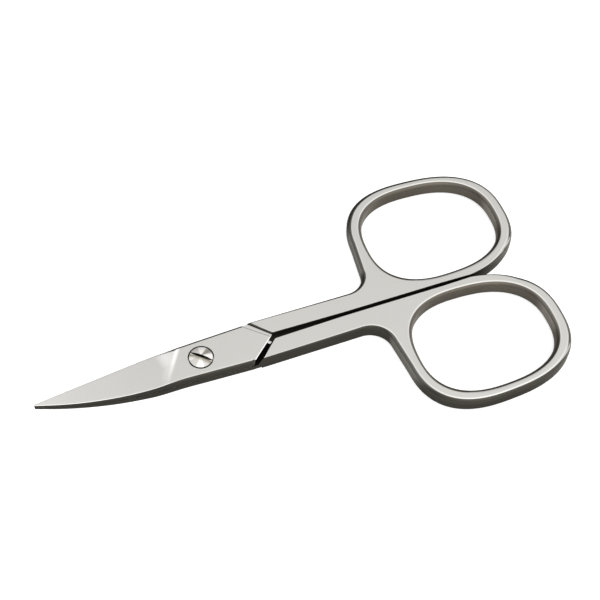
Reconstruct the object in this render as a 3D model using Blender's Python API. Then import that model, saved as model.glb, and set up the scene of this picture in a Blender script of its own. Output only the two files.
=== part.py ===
# Curved nail scissors, 90 mm long, shown closed. Metres, +Z up.
# The pivot's axis is the Z axis, the rings lie towards +X and the blades towards -X.
# The scissors rest on Z = 0. The upper half has its ring on the +Y side.

import math

import bmesh
import bpy
from mathutils import Vector
from mathutils.geometry import tessellate_polygon

for old_object in list(bpy.data.objects):
    bpy.data.objects.remove(old_object, do_unlink=True)

# Stock and joint
stock_thickness = 0.0031
lap_clearance = 0.00016
joint_half_width = 0.00376
wall_step = 0.00003

# Edges of the handle's bar
shank_edge_radius = 0.00050
ring_edge_radius = 0.00100
gap_edge_radius = 0.00013
shoulder_edge_radius = 0.00020
smooth_angle = math.radians(30)

# Finger ring
finger_hole_length = 0.0243
finger_hole_width = 0.0191
finger_hole_centre_x = 0.04692
ring_offset = 0.00012
inner_bar_width = 0.00205
neck_bar_width = 0.00251
end_bar_width = 0.00266
side_bar_width = 0.00233
hole_squareness_share = 2.50
hole_egg_share = 0.046
ring_squareness_share = 2.55
ring_egg_share = 0.063

# Shank
gap_at_joint = 0.0010
gap_at_shank_middle = 0.0006
gap_at_rings = 0.00038
shank_middle_x = 0.0257
gap_narrows_x = 0.0440
neck_radius = 0.0040
neck_lean = math.radians(6.2)

# V-shaped end of the joint plate and the slot behind it
vee_reach = 0.01240
vee_turn = math.radians(41.5)
slot_length = 0.00097
plate_corner_radius = 0.0013
shoulder_corner_radius = 0.0004
shoulder_lean = 0.0008
step_depth = 0.00038
step_chamfer = 0.00019

# Blades
blade_length = 0.02815
mating_flat_reach = 0.0135
mating_curve_radius = 0.060
upper_face_radius = 0.0712
upper_face_low_reach = 0.01403
upper_face_dip = 0.00058
upper_face_tilt_share = 0.05
upper_face_skew_share = 0.18
underside_flat_reach = 0.0080
underside_radius = 0.0780
plate_edge_radius = 0.00050
spine_edge_radius = 0.00014
cutting_face_radius = 0.00006
cutting_edge_bevel = 0.00004
hollow_depth = 0.00010
tongue_length = 0.0030
blend_start_reach = 0.0020
blend_end_reach = 0.0095

# Half-width of the blade as shares of the joint's, at shares of the blade's length
blade_width_shares = [
    (0.00, 0.915),
    (0.15, 0.865),
    (0.30, 0.835),
    (0.44, 0.746),
    (0.58, 0.622),
    (0.73, 0.449),
    (0.87, 0.251),
    (0.96, 0.105),
    (1.00, 0.042),
]

# Screw
screw_head_radius = 0.00200
screw_head_clearance = 0.00020
screw_seat_depth = 0.00085
screw_dome_height = 0.00050
screw_rim_drop = 0.00002
screw_shank_radius = 0.00130
screw_running_clearance = 0.00015
screw_thread_clearance = 0.00010
screw_slot_width = 0.00050
screw_slot_depth = 0.00062
screw_slot_turn = math.radians(-41)
cut_overrun = 0.0020

# Facets
edge_steps = 4
hole_steps = 96
arc_steps = 10
corner_steps = 4
blade_stations = 30
station_crowding = 1.15
face_steps = 6
round_steps = 64
merge_distance = 0.000003
gap_side_share = 0.75
neck_side_share = 1.49
edge_radius_limit_share = 0.33

lap_height = stock_thickness / 2
hole_half_length = finger_hole_length / 2
hole_half_width = finger_hole_width / 2
hole_centre_u = gap_at_rings / 2 + inner_bar_width + hole_half_width
ring_half_length = hole_half_length + (neck_bar_width + end_bar_width) / 2
ring_half_width = (hole_centre_u + hole_half_width + side_bar_width) / 2
ring_centre_x = finger_hole_centre_x + (end_bar_width - neck_bar_width) / 2
plate_corner_x = vee_reach - joint_half_width / math.tan(vee_turn)
plate_corner_tangent = plate_corner_radius * math.tan(vee_turn / 2)


def smooth_value(table, share):
    # Cubic through the table's points with slopes from their neighbours.
    for index in range(len(table) - 1):
        if share <= table[index + 1][0]:
            break

    def slope(at):
        before = table[max(at - 1, 0)]
        after = table[min(at + 1, len(table) - 1)]
        return (after[1] - before[1]) / (after[0] - before[0])

    (start, low), (end, high) = table[index], table[index + 1]
    span = end - start
    t = (share - start) / span
    square = t * t
    cube = square * t
    return (
        (2 * cube - 3 * square + 1) * low
        + (cube - 2 * square + t) * span * slope(index)
        + (3 * square - 2 * cube) * high
        + (cube - square) * span * slope(index + 1)
    )


def arc_rise(distance, radius):
    # Height of a circle over its tangent, at a distance from the point where they touch.
    reach = max(distance, 0)
    return radius - math.sqrt(radius * radius - reach * reach)


def mating_height(x, y):
    # The two halves slide on one surface of revolution round the pivot, so they clear at every angle.
    rise = arc_rise(math.hypot(x, y) - mating_flat_reach, mating_curve_radius)
    return lap_height + (rise if x < 0 else 0)


def outer_height(x, u, side):
    # Height of the upper half's top face (side 1) or the lower half's underside (side -1).
    # The top face is ground hollow along the blade, deeper at the cutting edge, with a slanted start.
    reach = -x
    if side > 0:
        low_reach = upper_face_low_reach - upper_face_skew_share * u
        dip = upper_face_dip + upper_face_tilt_share * u
        ground = arc_rise(abs(reach - low_reach), upper_face_radius) - dip
        return stock_thickness + (min(ground, 0) if reach < low_reach else ground)
    return arc_rise(reach - underside_flat_reach, underside_radius)


def make_material(name, colour, roughness):
    material = bpy.data.materials.new(name)
    material.use_nodes = True
    shader = material.node_tree.nodes["Principled BSDF"]
    shader.inputs["Base Color"].default_value = (*colour, 1)
    shader.inputs["Metallic"].default_value = 1
    shader.inputs["Roughness"].default_value = roughness
    return material


def add_object(name, mesh, material=None):
    made = bpy.data.objects.new(name, mesh)
    bpy.context.scene.collection.objects.link(made)
    if material:
        mesh.materials.append(material)
    return made


def mesh_from_rings(name, rings):
    # Quads between rings of equally many points, and a cap on each end.
    shape = bmesh.new()
    made = [[shape.verts.new(point) for point in ring] for ring in rings]
    for lower, upper in zip(made, made[1:]):
        for index in range(len(lower)):
            following = (index + 1) % len(lower)
            shape.faces.new((lower[index], lower[following], upper[following], upper[index]))
    shape.faces.new(made[0])
    shape.faces.new(made[-1])
    bmesh.ops.recalc_face_normals(shape, faces=shape.faces)
    mesh = bpy.data.meshes.new(name)
    shape.to_mesh(mesh)
    shape.free()
    return mesh


def turned_mesh(name, profile):
    # Turns a profile of (radius, height) points, which starts and ends on the Z axis.
    shape = bmesh.new()
    points = [shape.verts.new((radius, 0, height)) for radius, height in profile]
    edges = [shape.edges.new(pair) for pair in zip(points, points[1:])]
    bmesh.ops.spin(
        shape,
        geom=points + edges,
        cent=(0, 0, 0),
        axis=(0, 0, 1),
        angle=math.tau,
        steps=round_steps,
        use_merge=True,
    )
    bmesh.ops.remove_doubles(shape, verts=shape.verts, dist=merge_distance)
    bmesh.ops.recalc_face_normals(shape, faces=shape.faces)
    mesh = bpy.data.meshes.new(name)
    shape.to_mesh(mesh)
    shape.free()
    return mesh


def make_helper(name, mesh):
    helper = add_object(name, mesh)
    helper.hide_render = True
    helper.display_type = "WIRE"
    return helper


def join_or_cut(target, helper, operation):
    modifier = target.modifiers.new(helper.name, "BOOLEAN")
    modifier.operation = operation
    modifier.object = helper


def egg_outline(centre_x, centre_u, half_length, half_width, squareness, egg):
    # Rounded egg: a superellipse that narrows a little towards the far end.
    points = []
    for step in range(hole_steps):
        turn = math.tau * step / hole_steps
        cosine, sine = math.cos(turn), math.sin(turn)
        along = math.copysign(abs(cosine) ** (2 / squareness), cosine)
        across = math.copysign(abs(sine) ** (2 / squareness), sine) * (1 - egg * along)
        points.append(Vector((centre_x + half_length * along, centre_u + half_width * across)))
    return points


def hole_outline(side):
    # The upper half's ring sits a little farther out than the lower half's.
    return egg_outline(
        finger_hole_centre_x + side * ring_offset,
        hole_centre_u,
        hole_half_length,
        hole_half_width,
        hole_squareness_share,
        hole_egg_share,
    )


def ring_outline(side):
    # The outside of the ring. It reaches the line between the two rings, where the gap cuts it off.
    return egg_outline(
        ring_centre_x + side * ring_offset,
        ring_half_width,
        ring_half_length,
        ring_half_width,
        ring_squareness_share,
        ring_egg_share,
    )


def shoulder_x(u):
    return vee_reach + slot_length - u


def handle_outline(side):
    # Counterclockwise in plan, as (point, edge radius, lean share), from the shoulder's corner at the gap.
    outline = []
    gap_corner = gap_at_joint / 2
    corner_turn = 3 * math.pi / 4
    corner = Vector((shoulder_x(gap_corner), gap_corner))
    centre = corner + Vector((shoulder_corner_radius / math.tan(corner_turn / 2), shoulder_corner_radius))
    for step in range(corner_steps + 1):
        share = step / corner_steps
        turn = -math.pi / 2 - (math.pi - corner_turn) * (1 - share)
        point = centre + shoulder_corner_radius * Vector((math.cos(turn), math.sin(turn)))
        outline.append((point, shoulder_edge_radius, 1 - share))
    for x, gap in (
        (shank_middle_x, gap_at_shank_middle),
        (gap_narrows_x, gap_at_shank_middle),
    ):
        outline.append((Vector((x, gap / 2)), gap_edge_radius, 0))
    # The ring's outside starts where it leaves the gap.
    ring = ring_outline(side)
    gap_line = gap_at_rings / 2
    first = round(hole_steps * gap_side_share)
    while ring[first % hole_steps].y < gap_line + wall_step:
        first += 1
    outline.append((Vector((ring[first % hole_steps - 1].x, gap_line)), gap_edge_radius, 0))
    last = round(hole_steps * neck_side_share)
    for step in range(first, last + 1):
        point = ring[step % hole_steps]
        away = 1 if point.x < ring_centre_x else min((point.y - gap_line) / end_bar_width, 1)
        edge_radius = gap_edge_radius + (ring_edge_radius - gap_edge_radius) * away
        outline.append((point, edge_radius, 0))
    # The neck is a straight side that leans a little, and an arc down to the shank.
    side_end = ring[last % hole_steps]
    neck_u = joint_half_width + neck_radius
    side_x = side_end.x - (side_end.y - neck_u) * math.tan(neck_lean)
    neck = Vector((side_x - neck_radius / math.cos(neck_lean), neck_u))
    for step in range(arc_steps + 1):
        share = step / arc_steps
        turn = -neck_lean - (math.pi / 2 - neck_lean) * share
        point = neck + neck_radius * Vector((math.cos(turn), math.sin(turn)))
        edge_radius = ring_edge_radius + (shank_edge_radius - ring_edge_radius) * share
        outline.append((point, edge_radius, 0))
    outline.append((Vector((shoulder_x(joint_half_width), joint_half_width)), shoulder_edge_radius, 1))
    return outline


def mitres(points):
    # For each corner, the vector that moves both of its edges out by one unit.
    found = []
    for index, point in enumerate(points):
        before = (point - points[index - 1]).normalized()
        after = (points[(index + 1) % len(points)] - point).normalized()
        first = Vector((before.y, -before.x))
        second = Vector((after.y, -after.x))
        found.append((first + second) / (1 + first.dot(second)))
    return found


def handle_mesh(name, side):
    outline = handle_outline(side)
    hole = [(point, ring_edge_radius, 0) for point in reversed(hole_outline(side))]
    half = stock_thickness / 2
    # Each level is the share of the edge radius still to go inwards, and the share of it below the face.
    quarter = [math.pi / 2 * step / edge_steps for step in range(edge_steps + 1)]
    levels = [(1 - math.sin(turn), 1 - math.cos(turn), 1) for turn in quarter]
    levels.append((0, 0, 0))
    levels += [(1 - math.sin(turn), 1 - math.cos(turn), -1) for turn in reversed(quarter)]

    shape = bmesh.new()

    def rings_of(corners):
        made = []
        directions = mitres([point for point, radius, lean_share in corners])
        for inward, down, end in levels:
            ring = []
            for (point, radius, lean_share), direction in zip(corners, directions):
                moved = point - direction * radius * inward
                height = end * (half - radius * down)
                lean = shoulder_lean * lean_share * (1 - abs(height) / half)
                ring.append(shape.verts.new((moved.x - lean, side * moved.y, half + side * height)))
            made.append(ring)
        for lower, upper in zip(made, made[1:]):
            for index in range(len(corners)):
                following = (index + 1) % len(corners)
                shape.faces.new((lower[index], lower[following], upper[following], upper[index]))
        return made

    outside = rings_of(outline)
    inside = rings_of(hole)
    for end in (0, -1):
        loops = [outside[end], inside[end]]
        flat = loops[0] + loops[1]
        for triangle in tessellate_polygon([[vertex.co for vertex in loop] for loop in loops]):
            shape.faces.new([flat[index] for index in triangle])
    bmesh.ops.recalc_face_normals(shape, faces=shape.faces)
    mesh = bpy.data.meshes.new(name)
    shape.to_mesh(mesh)
    shape.free()
    return mesh


def near_edge(x):
    # Spine side of the plate and blade in plan, with the V behind the joint, as u at the face and the lap.
    width = plate_half_width(x)
    lean = shoulder_lean * min(max((x - plate_corner_x) / plate_corner_radius, 0), 1)
    corner_start = plate_corner_x - plate_corner_tangent
    if x <= corner_start:
        return -width, -width
    if x < plate_corner_x + plate_corner_tangent * math.cos(vee_turn):
        u = -width + arc_rise(x - corner_start, plate_corner_radius)
        return u, u + lean
    if x <= vee_reach:
        u = (x - vee_reach) * math.tan(vee_turn)
        return u, u + lean
    return gap_at_joint / 2 + wall_step, gap_at_joint / 2 + wall_step


def plate_half_width(x):
    if x >= 0:
        share = min(x / plate_corner_x, 1)
        joint_share = blade_width_shares[0][1]
        return (joint_half_width - wall_step) * (joint_share + (1 - joint_share) * share)
    return (joint_half_width - wall_step) * smooth_value(blade_width_shares, -x / blade_length)


def blade_section(x, side):
    # Closed section across the half at x, as points (x, y, z).
    near_face, near_lap = near_edge(x)
    width = plate_half_width(x)
    outer = outer_height(x, 0, side) - side * wall_step
    blend = min(max((-x - blend_start_reach) / (blend_end_reach - blend_start_reach), 0), 1)
    blend = blend * blend * (3 - 2 * blend)
    thickness = side * (outer - mating_height(x, 0))
    bevel = cutting_edge_bevel * blend
    in_vee = x > plate_corner_x
    spine_radius = plate_edge_radius + (spine_edge_radius - plate_edge_radius) * blend
    near_radius = shoulder_edge_radius if in_vee else spine_radius
    far_radius = plate_edge_radius + (cutting_face_radius - plate_edge_radius) * blend
    largest = edge_radius_limit_share * min(thickness, 2 * width)
    near_radius = min(near_radius, largest)
    far_radius = min(far_radius, largest)
    far_face = width - bevel
    points = []
    turns = [math.pi / 2 * step / edge_steps for step in range(edge_steps + 1)]
    for turn in turns:
        points.append((near_face + near_radius * (1 - math.cos(turn)), near_radius * (1 - math.sin(turn))))
    first_u, last_u = near_face + near_radius, far_face - far_radius
    points += [(first_u + (last_u - first_u) * step / face_steps, 0) for step in range(1, face_steps)]
    for turn in reversed(turns):
        points.append((far_face - far_radius * (1 - math.cos(turn)), far_radius * (1 - math.sin(turn))))
    section = []
    for u, down in points:
        section.append((x, side * u, outer_height(x, u, side) - side * (wall_step + down)))
    for step in range(face_steps + 1):
        share = step / face_steps
        u = width + (near_lap - width) * share
        hollow = hollow_depth * blend * (1 - (2 * share - 1) ** 2) * min(thickness / lap_height, 1)
        height = mating_height(x, u) + side * (lap_clearance / 2 + hollow)
        section.append((x, side * u, height))
    return section


def blade_mesh(name, side):
    corner_start = plate_corner_x - plate_corner_tangent
    turn_length = plate_corner_radius * math.sin(vee_turn)
    stations = []
    for step in range(blade_stations):
        stations.append(-blade_length * (1 - (step / blade_stations) ** station_crowding))
    stations += [0, corner_start / 2, corner_start]
    stations += [corner_start + turn_length * step / arc_steps for step in range(1, arc_steps + 1)]
    stations += [(plate_corner_x + vee_reach) / 2, vee_reach, vee_reach + gap_at_joint / 2]
    stations.append(vee_reach + slot_length + tongue_length)
    return mesh_from_rings(name, [blade_section(x, side) for x in stations])


def step_cutter_mesh(name, side):
    # Shallow step on the outer face, between the plate's V and the shank.
    face = stock_thickness if side > 0 else 0
    end = vee_reach + slot_length + tongue_length + cut_overrun
    near, far = -gap_at_joint / 2, joint_half_width + cut_overrun
    near_x, far_x = (vee_reach - u / math.tan(vee_turn) for u in (near, far))
    plan = [(vee_reach, 0), (near_x, near), (end, near), (end, far), (far_x, far)]
    levels = [(-step_depth, 0), (-step_chamfer, 0), (cut_overrun, step_chamfer + cut_overrun)]
    rings = []
    for height, flare in levels:
        # The plate's edge is chamfered: the cutter widens above it, square to the V's far side.
        shift = flare / math.sin(vee_turn)
        ring = [(x - (shift if x < end else 0), side * u, face + side * height) for x, u in plan]
        rings.append(ring)
    return mesh_from_rings(name, rings)


def bore_profile(side):
    if side < 0:
        radius = screw_shank_radius + screw_thread_clearance
        top = lap_height + cut_overrun
        return [(0, top), (radius, top), (radius, -cut_overrun), (0, -cut_overrun)]
    head = screw_head_radius + screw_head_clearance
    shank = screw_shank_radius + screw_running_clearance
    top = stock_thickness + cut_overrun
    seat = stock_thickness - screw_seat_depth
    return [(0, top), (head, top), (head, seat), (shank, seat), (shank, 0), (0, 0)]


def make_half(name, side, material):
    half = add_object(name, handle_mesh(name, side), material)
    blade = make_helper(name + "_blade", blade_mesh(name + "_blade", side))
    join_or_cut(blade, make_helper(name + "_step", step_cutter_mesh(name + "_step", side)), "DIFFERENCE")
    join_or_cut(half, blade, "UNION")
    bore = make_helper(name + "_bore", turned_mesh(name + "_bore", bore_profile(side)))
    join_or_cut(half, bore, "DIFFERENCE")
    half.data.shade_smooth()
    half.data.set_sharp_from_angle(angle=smooth_angle)
    return half


def make_screw(material):
    rim = stock_thickness - screw_rim_drop
    seat = stock_thickness - screw_seat_depth + lap_clearance
    dome_radius = (screw_head_radius**2 + screw_dome_height**2) / (2 * screw_dome_height)
    profile = []
    for step in range(arc_steps + 1):
        radius = screw_head_radius * step / arc_steps
        profile.append((radius, rim + screw_dome_height - arc_rise(radius, dome_radius)))
    profile += [(screw_head_radius, seat), (screw_shank_radius, seat), (screw_shank_radius, 0), (0, 0)]
    screw = add_object("pivot_screw", turned_mesh("pivot_screw", profile), material)
    top = rim + screw_dome_height
    long_side = screw_head_radius + cut_overrun
    wide_side = screw_slot_width / 2
    corners = ((-1, -1), (1, -1), (1, 1), (-1, 1))
    floor = [(x * long_side, y * wide_side, top - screw_slot_depth) for x, y in corners]
    roof = [(x * long_side, y * wide_side, top + cut_overrun) for x, y in corners]
    slot = make_helper("screw_slot", mesh_from_rings("screw_slot", [floor, roof]))
    slot.rotation_euler.z = screw_slot_turn
    join_or_cut(screw, slot, "DIFFERENCE")
    screw.data.shade_smooth()
    screw.data.set_sharp_from_angle(angle=smooth_angle)
    return screw


upper_steel = make_material("upper_satin_steel", (0.62, 0.61, 0.58), 0.32)
lower_steel = make_material("lower_satin_steel", (0.61, 0.60, 0.57), 0.33)
screw_steel = make_material("polished_screw_steel", (0.72, 0.69, 0.64), 0.12)

pivot = bpy.data.objects.new("pivot_axis", None)
bpy.context.scene.collection.objects.link(pivot)

upper_half = make_half("upper_half", 1, upper_steel)
upper_half.parent = pivot
make_half("lower_half", -1, lower_steel)
make_screw(screw_steel)
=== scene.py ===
import math

import bmesh
import bpy
from mathutils import Matrix, Vector
from mathutils.geometry import tessellate_polygon


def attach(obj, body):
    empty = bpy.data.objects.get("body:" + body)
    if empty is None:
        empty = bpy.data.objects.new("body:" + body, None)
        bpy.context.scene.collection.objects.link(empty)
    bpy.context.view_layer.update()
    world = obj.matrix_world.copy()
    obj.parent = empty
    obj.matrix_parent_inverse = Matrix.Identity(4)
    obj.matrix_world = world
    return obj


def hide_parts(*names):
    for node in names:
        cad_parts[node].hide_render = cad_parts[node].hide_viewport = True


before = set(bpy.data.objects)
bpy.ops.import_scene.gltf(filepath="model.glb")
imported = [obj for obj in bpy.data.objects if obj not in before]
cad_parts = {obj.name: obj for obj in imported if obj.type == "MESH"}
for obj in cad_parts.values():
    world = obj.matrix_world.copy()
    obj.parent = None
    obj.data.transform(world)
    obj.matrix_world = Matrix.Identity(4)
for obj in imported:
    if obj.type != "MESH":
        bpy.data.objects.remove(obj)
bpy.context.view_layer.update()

# Curved nail scissors. The pivot is the Z axis, the rings lie towards +X and the blades towards -X.
# The halves and the screw are built again here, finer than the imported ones, and stand for them.
mm = 0.001
scene = bpy.context.scene


# Camera

camera = {
    "lens": 72.0,
    "elevation": 56.52,  # degrees
    "azimuth": -22.84,
    "roll": 2.77,
    "distance": 199.6 * mm,
    "right": 16.42 * mm,  # what the view looks past the pivot by
    "up": 9.67 * mm,
    "target": Vector((0, -0.2 * mm, 3.1 * mm)),
    "nearest": 1 * mm,
}


def makeCamera():
    azimuth = math.radians(camera["azimuth"])
    elevation = math.radians(camera["elevation"])
    roll = math.radians(camera["roll"])
    back = Vector((
        math.sin(azimuth) * math.cos(elevation),
        -math.cos(azimuth) * math.cos(elevation),
        math.sin(elevation),
    ))
    level = Vector((math.cos(azimuth), math.sin(azimuth), 0))
    upright = back.cross(level)
    right = math.cos(roll) * level + math.sin(roll) * upright
    up = math.cos(roll) * upright - math.sin(roll) * level
    data = bpy.data.cameras.new("camera")
    data.lens = camera["lens"]
    data.clip_start = camera["nearest"]
    made = addObject("camera", data)
    place = camera["target"] + back * camera["distance"]
    place = place + right * camera["right"] + up * camera["up"]
    turn = Matrix((right, up, back)).transposed().to_4x4()
    made.matrix_world = Matrix.Translation(place) @ turn
    scene.camera = made


# Shared sizes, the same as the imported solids'

stock = {
    "thickness": 3.1 * mm,
    "lapGap": 0.16 * mm,
    "halfWidth": 3.76 * mm,
    "wallStep": 0.03 * mm,
    "smoothAngle": 30,  # degrees
    "flatAngle": 0.05,
    "flatWeight": 100,  # the flats keep their own normals up to their edges
    "mergeDistance": 0.001 * mm,
    "cutPast": 2 * mm,
}


# Mesh helpers

def addObject(name, data):
    made = bpy.data.objects.new(name, data)
    scene.collection.objects.link(made)
    return made


def meshFrom(shape, name):
    bmesh.ops.recalc_face_normals(shape, faces=shape.faces)
    mesh = bpy.data.meshes.new(name)
    shape.to_mesh(mesh)
    shape.free()
    return mesh


def addStrips(shape, rings):
    for lower, upper in zip(rings, rings[1:]):
        for index in range(len(lower)):
            following = (index + 1) % len(lower)
            shape.faces.new((lower[index], lower[following], upper[following], upper[index]))


def meshFromRings(name, rings):
    shape = bmesh.new()
    made = [[shape.verts.new(point) for point in ring] for ring in rings]
    addStrips(shape, made)
    shape.faces.new(made[0])
    shape.faces.new(made[-1])
    return meshFrom(shape, name)


def turnedMesh(name, profile, steps):
    # Turns (radius, height) points round the Z axis, on which the profile starts and ends.
    shape = bmesh.new()
    points = [shape.verts.new((radius, 0, height)) for radius, height in profile]
    edges = [shape.edges.new(pair) for pair in zip(points, points[1:])]
    bmesh.ops.spin(
        shape,
        geom=points + edges,
        axis=(0, 0, 1),
        angle=math.tau,
        steps=steps,
        use_merge=True,
    )
    bmesh.ops.remove_doubles(shape, verts=shape.verts, dist=stock["mergeDistance"])
    return meshFrom(shape, name)


def combine(target, helper, operation):
    # Exact boolean, applied at once. The helper goes.
    modifier = target.modifiers.new(helper.name, "BOOLEAN")
    modifier.operation = operation
    modifier.object = helper
    bpy.context.view_layer.update()
    graph = bpy.context.evaluated_depsgraph_get()
    mesh = bpy.data.meshes.new_from_object(target.evaluated_get(graph))
    target.modifiers.clear()
    target.data = mesh
    bpy.data.objects.remove(helper)


def finishMesh(made):
    # Joins the triangles of each flat. Flats get straight normals and roundings smooth ones.
    shape = bmesh.new()
    shape.from_mesh(made.data)
    bmesh.ops.dissolve_limit(
        shape,
        angle_limit=math.radians(stock["flatAngle"]),
        verts=shape.verts,
        edges=shape.edges,
    )
    shape.to_mesh(made.data)
    shape.free()
    made.data.shade_smooth()
    made.data.set_sharp_from_angle(angle=math.radians(stock["smoothAngle"]))
    weighted = made.modifiers.new("flatNormals", "WEIGHTED_NORMAL")
    weighted.mode = "FACE_AREA_WITH_ANGLE"
    weighted.weight = stock["flatWeight"]
    weighted.keep_sharp = True


def rectangle(halfLength, halfWidth):
    corners = ((-1, -1), (1, -1), (1, 1), (-1, 1))
    return [(x * halfLength, y * halfWidth) for x, y in corners]


def limited(share):
    return min(max(share, 0), 1)


def between(low, high, share):
    return low + (high - low) * share


def arcRise(distance, radius):
    reach = max(distance, 0)
    return radius - math.sqrt(radius * radius - reach * reach)


# Handle of a half: ring and shank

handle = {
    "shankEdge": 0.50 * mm,
    "ringEdge": 1.00 * mm,
    "gapEdge": 0.13 * mm,
    "shoulderEdge": 0.20 * mm,
    "hole": {
        "length": 24.3 * mm,
        "width": 19.1 * mm,
        "centreX": 46.92 * mm,
        "squareness": 2.50,
        "egg": 0.046,
    },
    "ringOffset": 0.12 * mm,  # the upper ring sits farther out by this, the lower one less far
    "innerBar": 2.05 * mm,
    "neckBar": 2.51 * mm,
    "endBar": 2.66 * mm,
    "sideBar": 2.32 * mm,
    "ringSquareness": 2.55,
    "ringEgg": 0.063,
    "gapAtJoint": 1.0 * mm,
    "gapAtMiddle": 0.6 * mm,
    "gapAtRings": 0.38 * mm,
    "middleX": 25.7 * mm,
    "narrowsX": 44.0 * mm,
    "neckRadius": 4.0 * mm,
    "neckLean": 6.2,  # degrees
    "shoulderCorner": 0.4 * mm,
    "shoulderLean": 0.8 * mm,
    "edgeSteps": 10,
    "holeSteps": 288,
    "neckSteps": 36,
    "cornerSteps": 8,
    "gapSide": 0.75,  # turns round the ring where it meets the gap
    "neckSide": 1.49,  # and where the neck leaves it
}

joint = {
    "veeReach": 12.40 * mm,
    "veeTurn": math.radians(41.5),
    "slotLength": 0.97 * mm,
    "plateCorner": 1.3 * mm,
    "stepDepth": 0.38 * mm,
    "stepChamfer": 0.19 * mm,
}


def shoulderX(u):
    return joint["veeReach"] + joint["slotLength"] - u


def eggOutline(egg, side):
    # A superellipse that narrows a little towards the far end.
    centreX = egg["centreX"] + side * handle["ringOffset"]
    power = 2 / egg["squareness"]
    points = []
    for step in range(handle["holeSteps"]):
        turn = math.tau * step / handle["holeSteps"]
        cosine, sine = math.cos(turn), math.sin(turn)
        along = math.copysign(abs(cosine) ** power, cosine)
        across = math.copysign(abs(sine) ** power, sine) * (1 - egg["egg"] * along)
        x = centreX + egg["length"] / 2 * along
        points.append(Vector((x, egg["centreU"] + egg["width"] / 2 * across)))
    return points


def holeCentre():
    return handle["gapAtRings"] / 2 + handle["innerBar"] + handle["hole"]["width"] / 2


def holeOutline(side):
    return eggOutline({**handle["hole"], "centreU": holeCentre()}, side)


def ringOutline(side):
    # The outside of the ring. It reaches the line between the two rings, where the gap cuts it off.
    hole = handle["hole"]
    width = handle["gapAtRings"] / 2 + handle["innerBar"] + hole["width"] + handle["sideBar"]
    egg = {
        "length": hole["length"] + handle["neckBar"] + handle["endBar"],
        "width": width,
        "centreX": hole["centreX"] + (handle["endBar"] - handle["neckBar"]) / 2,
        "centreU": width / 2,
        "squareness": handle["ringSquareness"],
        "egg": handle["ringEgg"],
    }
    return eggOutline(egg, side)


def handleOutline(side):
    # Counterclockwise in plan, as (point, edge radius, share of the shoulder's lean).
    steps = handle["holeSteps"]
    cornerRadius = handle["shoulderCorner"]
    gapCorner = handle["gapAtJoint"] / 2
    cornerTurn = 3 * math.pi / 4
    corner = Vector((shoulderX(gapCorner), gapCorner))
    centre = corner + Vector((cornerRadius / math.tan(cornerTurn / 2), cornerRadius))
    outline = []
    for step in range(handle["cornerSteps"] + 1):
        share = step / handle["cornerSteps"]
        turn = -math.pi / 2 - (math.pi - cornerTurn) * (1 - share)
        point = centre + cornerRadius * Vector((math.cos(turn), math.sin(turn)))
        outline.append((point, handle["shoulderEdge"], 1 - share))
    for x in (handle["middleX"], handle["narrowsX"]):
        outline.append((Vector((x, handle["gapAtMiddle"] / 2)), handle["gapEdge"], 0))
    ring = ringOutline(side)
    gapLine = handle["gapAtRings"] / 2
    middle = sum(point.x for point in ring) / steps
    first = round(steps * handle["gapSide"])
    while ring[first % steps].y < gapLine + stock["wallStep"]:
        first += 1
    outline.append((Vector((ring[first % steps - 1].x, gapLine)), handle["gapEdge"], 0))
    last = round(steps * handle["neckSide"])
    for step in range(first, last + 1):
        point = ring[step % steps]
        away = 1 if point.x < middle else min((point.y - gapLine) / handle["endBar"], 1)
        outline.append((point, between(handle["gapEdge"], handle["ringEdge"], away), 0))
    # The neck is a straight side that leans a little, and an arc down to the shank.
    sideEnd = ring[last % steps]
    lean = math.radians(handle["neckLean"])
    radius = handle["neckRadius"]
    neckU = stock["halfWidth"] + radius
    sideX = sideEnd.x - (sideEnd.y - neckU) * math.tan(lean)
    neck = Vector((sideX - radius / math.cos(lean), neckU))
    for step in range(handle["neckSteps"] + 1):
        share = step / handle["neckSteps"]
        turn = -between(lean, math.pi / 2, share)
        point = neck + radius * Vector((math.cos(turn), math.sin(turn)))
        outline.append((point, between(handle["ringEdge"], handle["shankEdge"], share), 0))
    outer = Vector((shoulderX(stock["halfWidth"]), stock["halfWidth"]))
    outline.append((outer, handle["shoulderEdge"], 1))
    return outline


def mitres(points):
    # For each corner, the vector that moves both of its edges out by one unit.
    found = []
    for index, point in enumerate(points):
        before = (point - points[index - 1]).normalized()
        after = (points[(index + 1) % len(points)] - point).normalized()
        first = Vector((before.y, -before.x))
        second = Vector((after.y, -after.x))
        found.append((first + second) / (1 + first.dot(second)))
    return found


def handleMesh(name, side):
    half = stock["thickness"] / 2
    quarter = [math.pi / 2 * step / handle["edgeSteps"] for step in range(handle["edgeSteps"] + 1)]
    levels = [(1 - math.sin(turn), 1 - math.cos(turn), 1) for turn in quarter]
    levels.append((0, 0, 0))
    levels += [(1 - math.sin(turn), 1 - math.cos(turn), -1) for turn in reversed(quarter)]
    shape = bmesh.new()

    def wall(corners):
        rings = []
        directions = mitres([point for point, radius, leanShare in corners])
        for inward, down, end in levels:
            ring = []
            for (point, radius, leanShare), direction in zip(corners, directions):
                moved = point - direction * radius * inward
                height = end * (half - radius * down)
                lean = handle["shoulderLean"] * leanShare * (1 - abs(height) / half)
                ring.append(shape.verts.new((moved.x - lean, side * moved.y, half + side * height)))
            rings.append(ring)
        addStrips(shape, rings)
        return rings

    outside = wall(handleOutline(side))
    inside = wall([(point, handle["ringEdge"], 0) for point in reversed(holeOutline(side))])
    for end in (0, -1):
        loops = [outside[end], inside[end]]
        flat = loops[0] + loops[1]
        for triangle in tessellate_polygon([[vertex.co for vertex in loop] for loop in loops]):
            shape.faces.new([flat[index] for index in triangle])
    return meshFrom(shape, name)


# Blade and joint plate of a half

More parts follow.
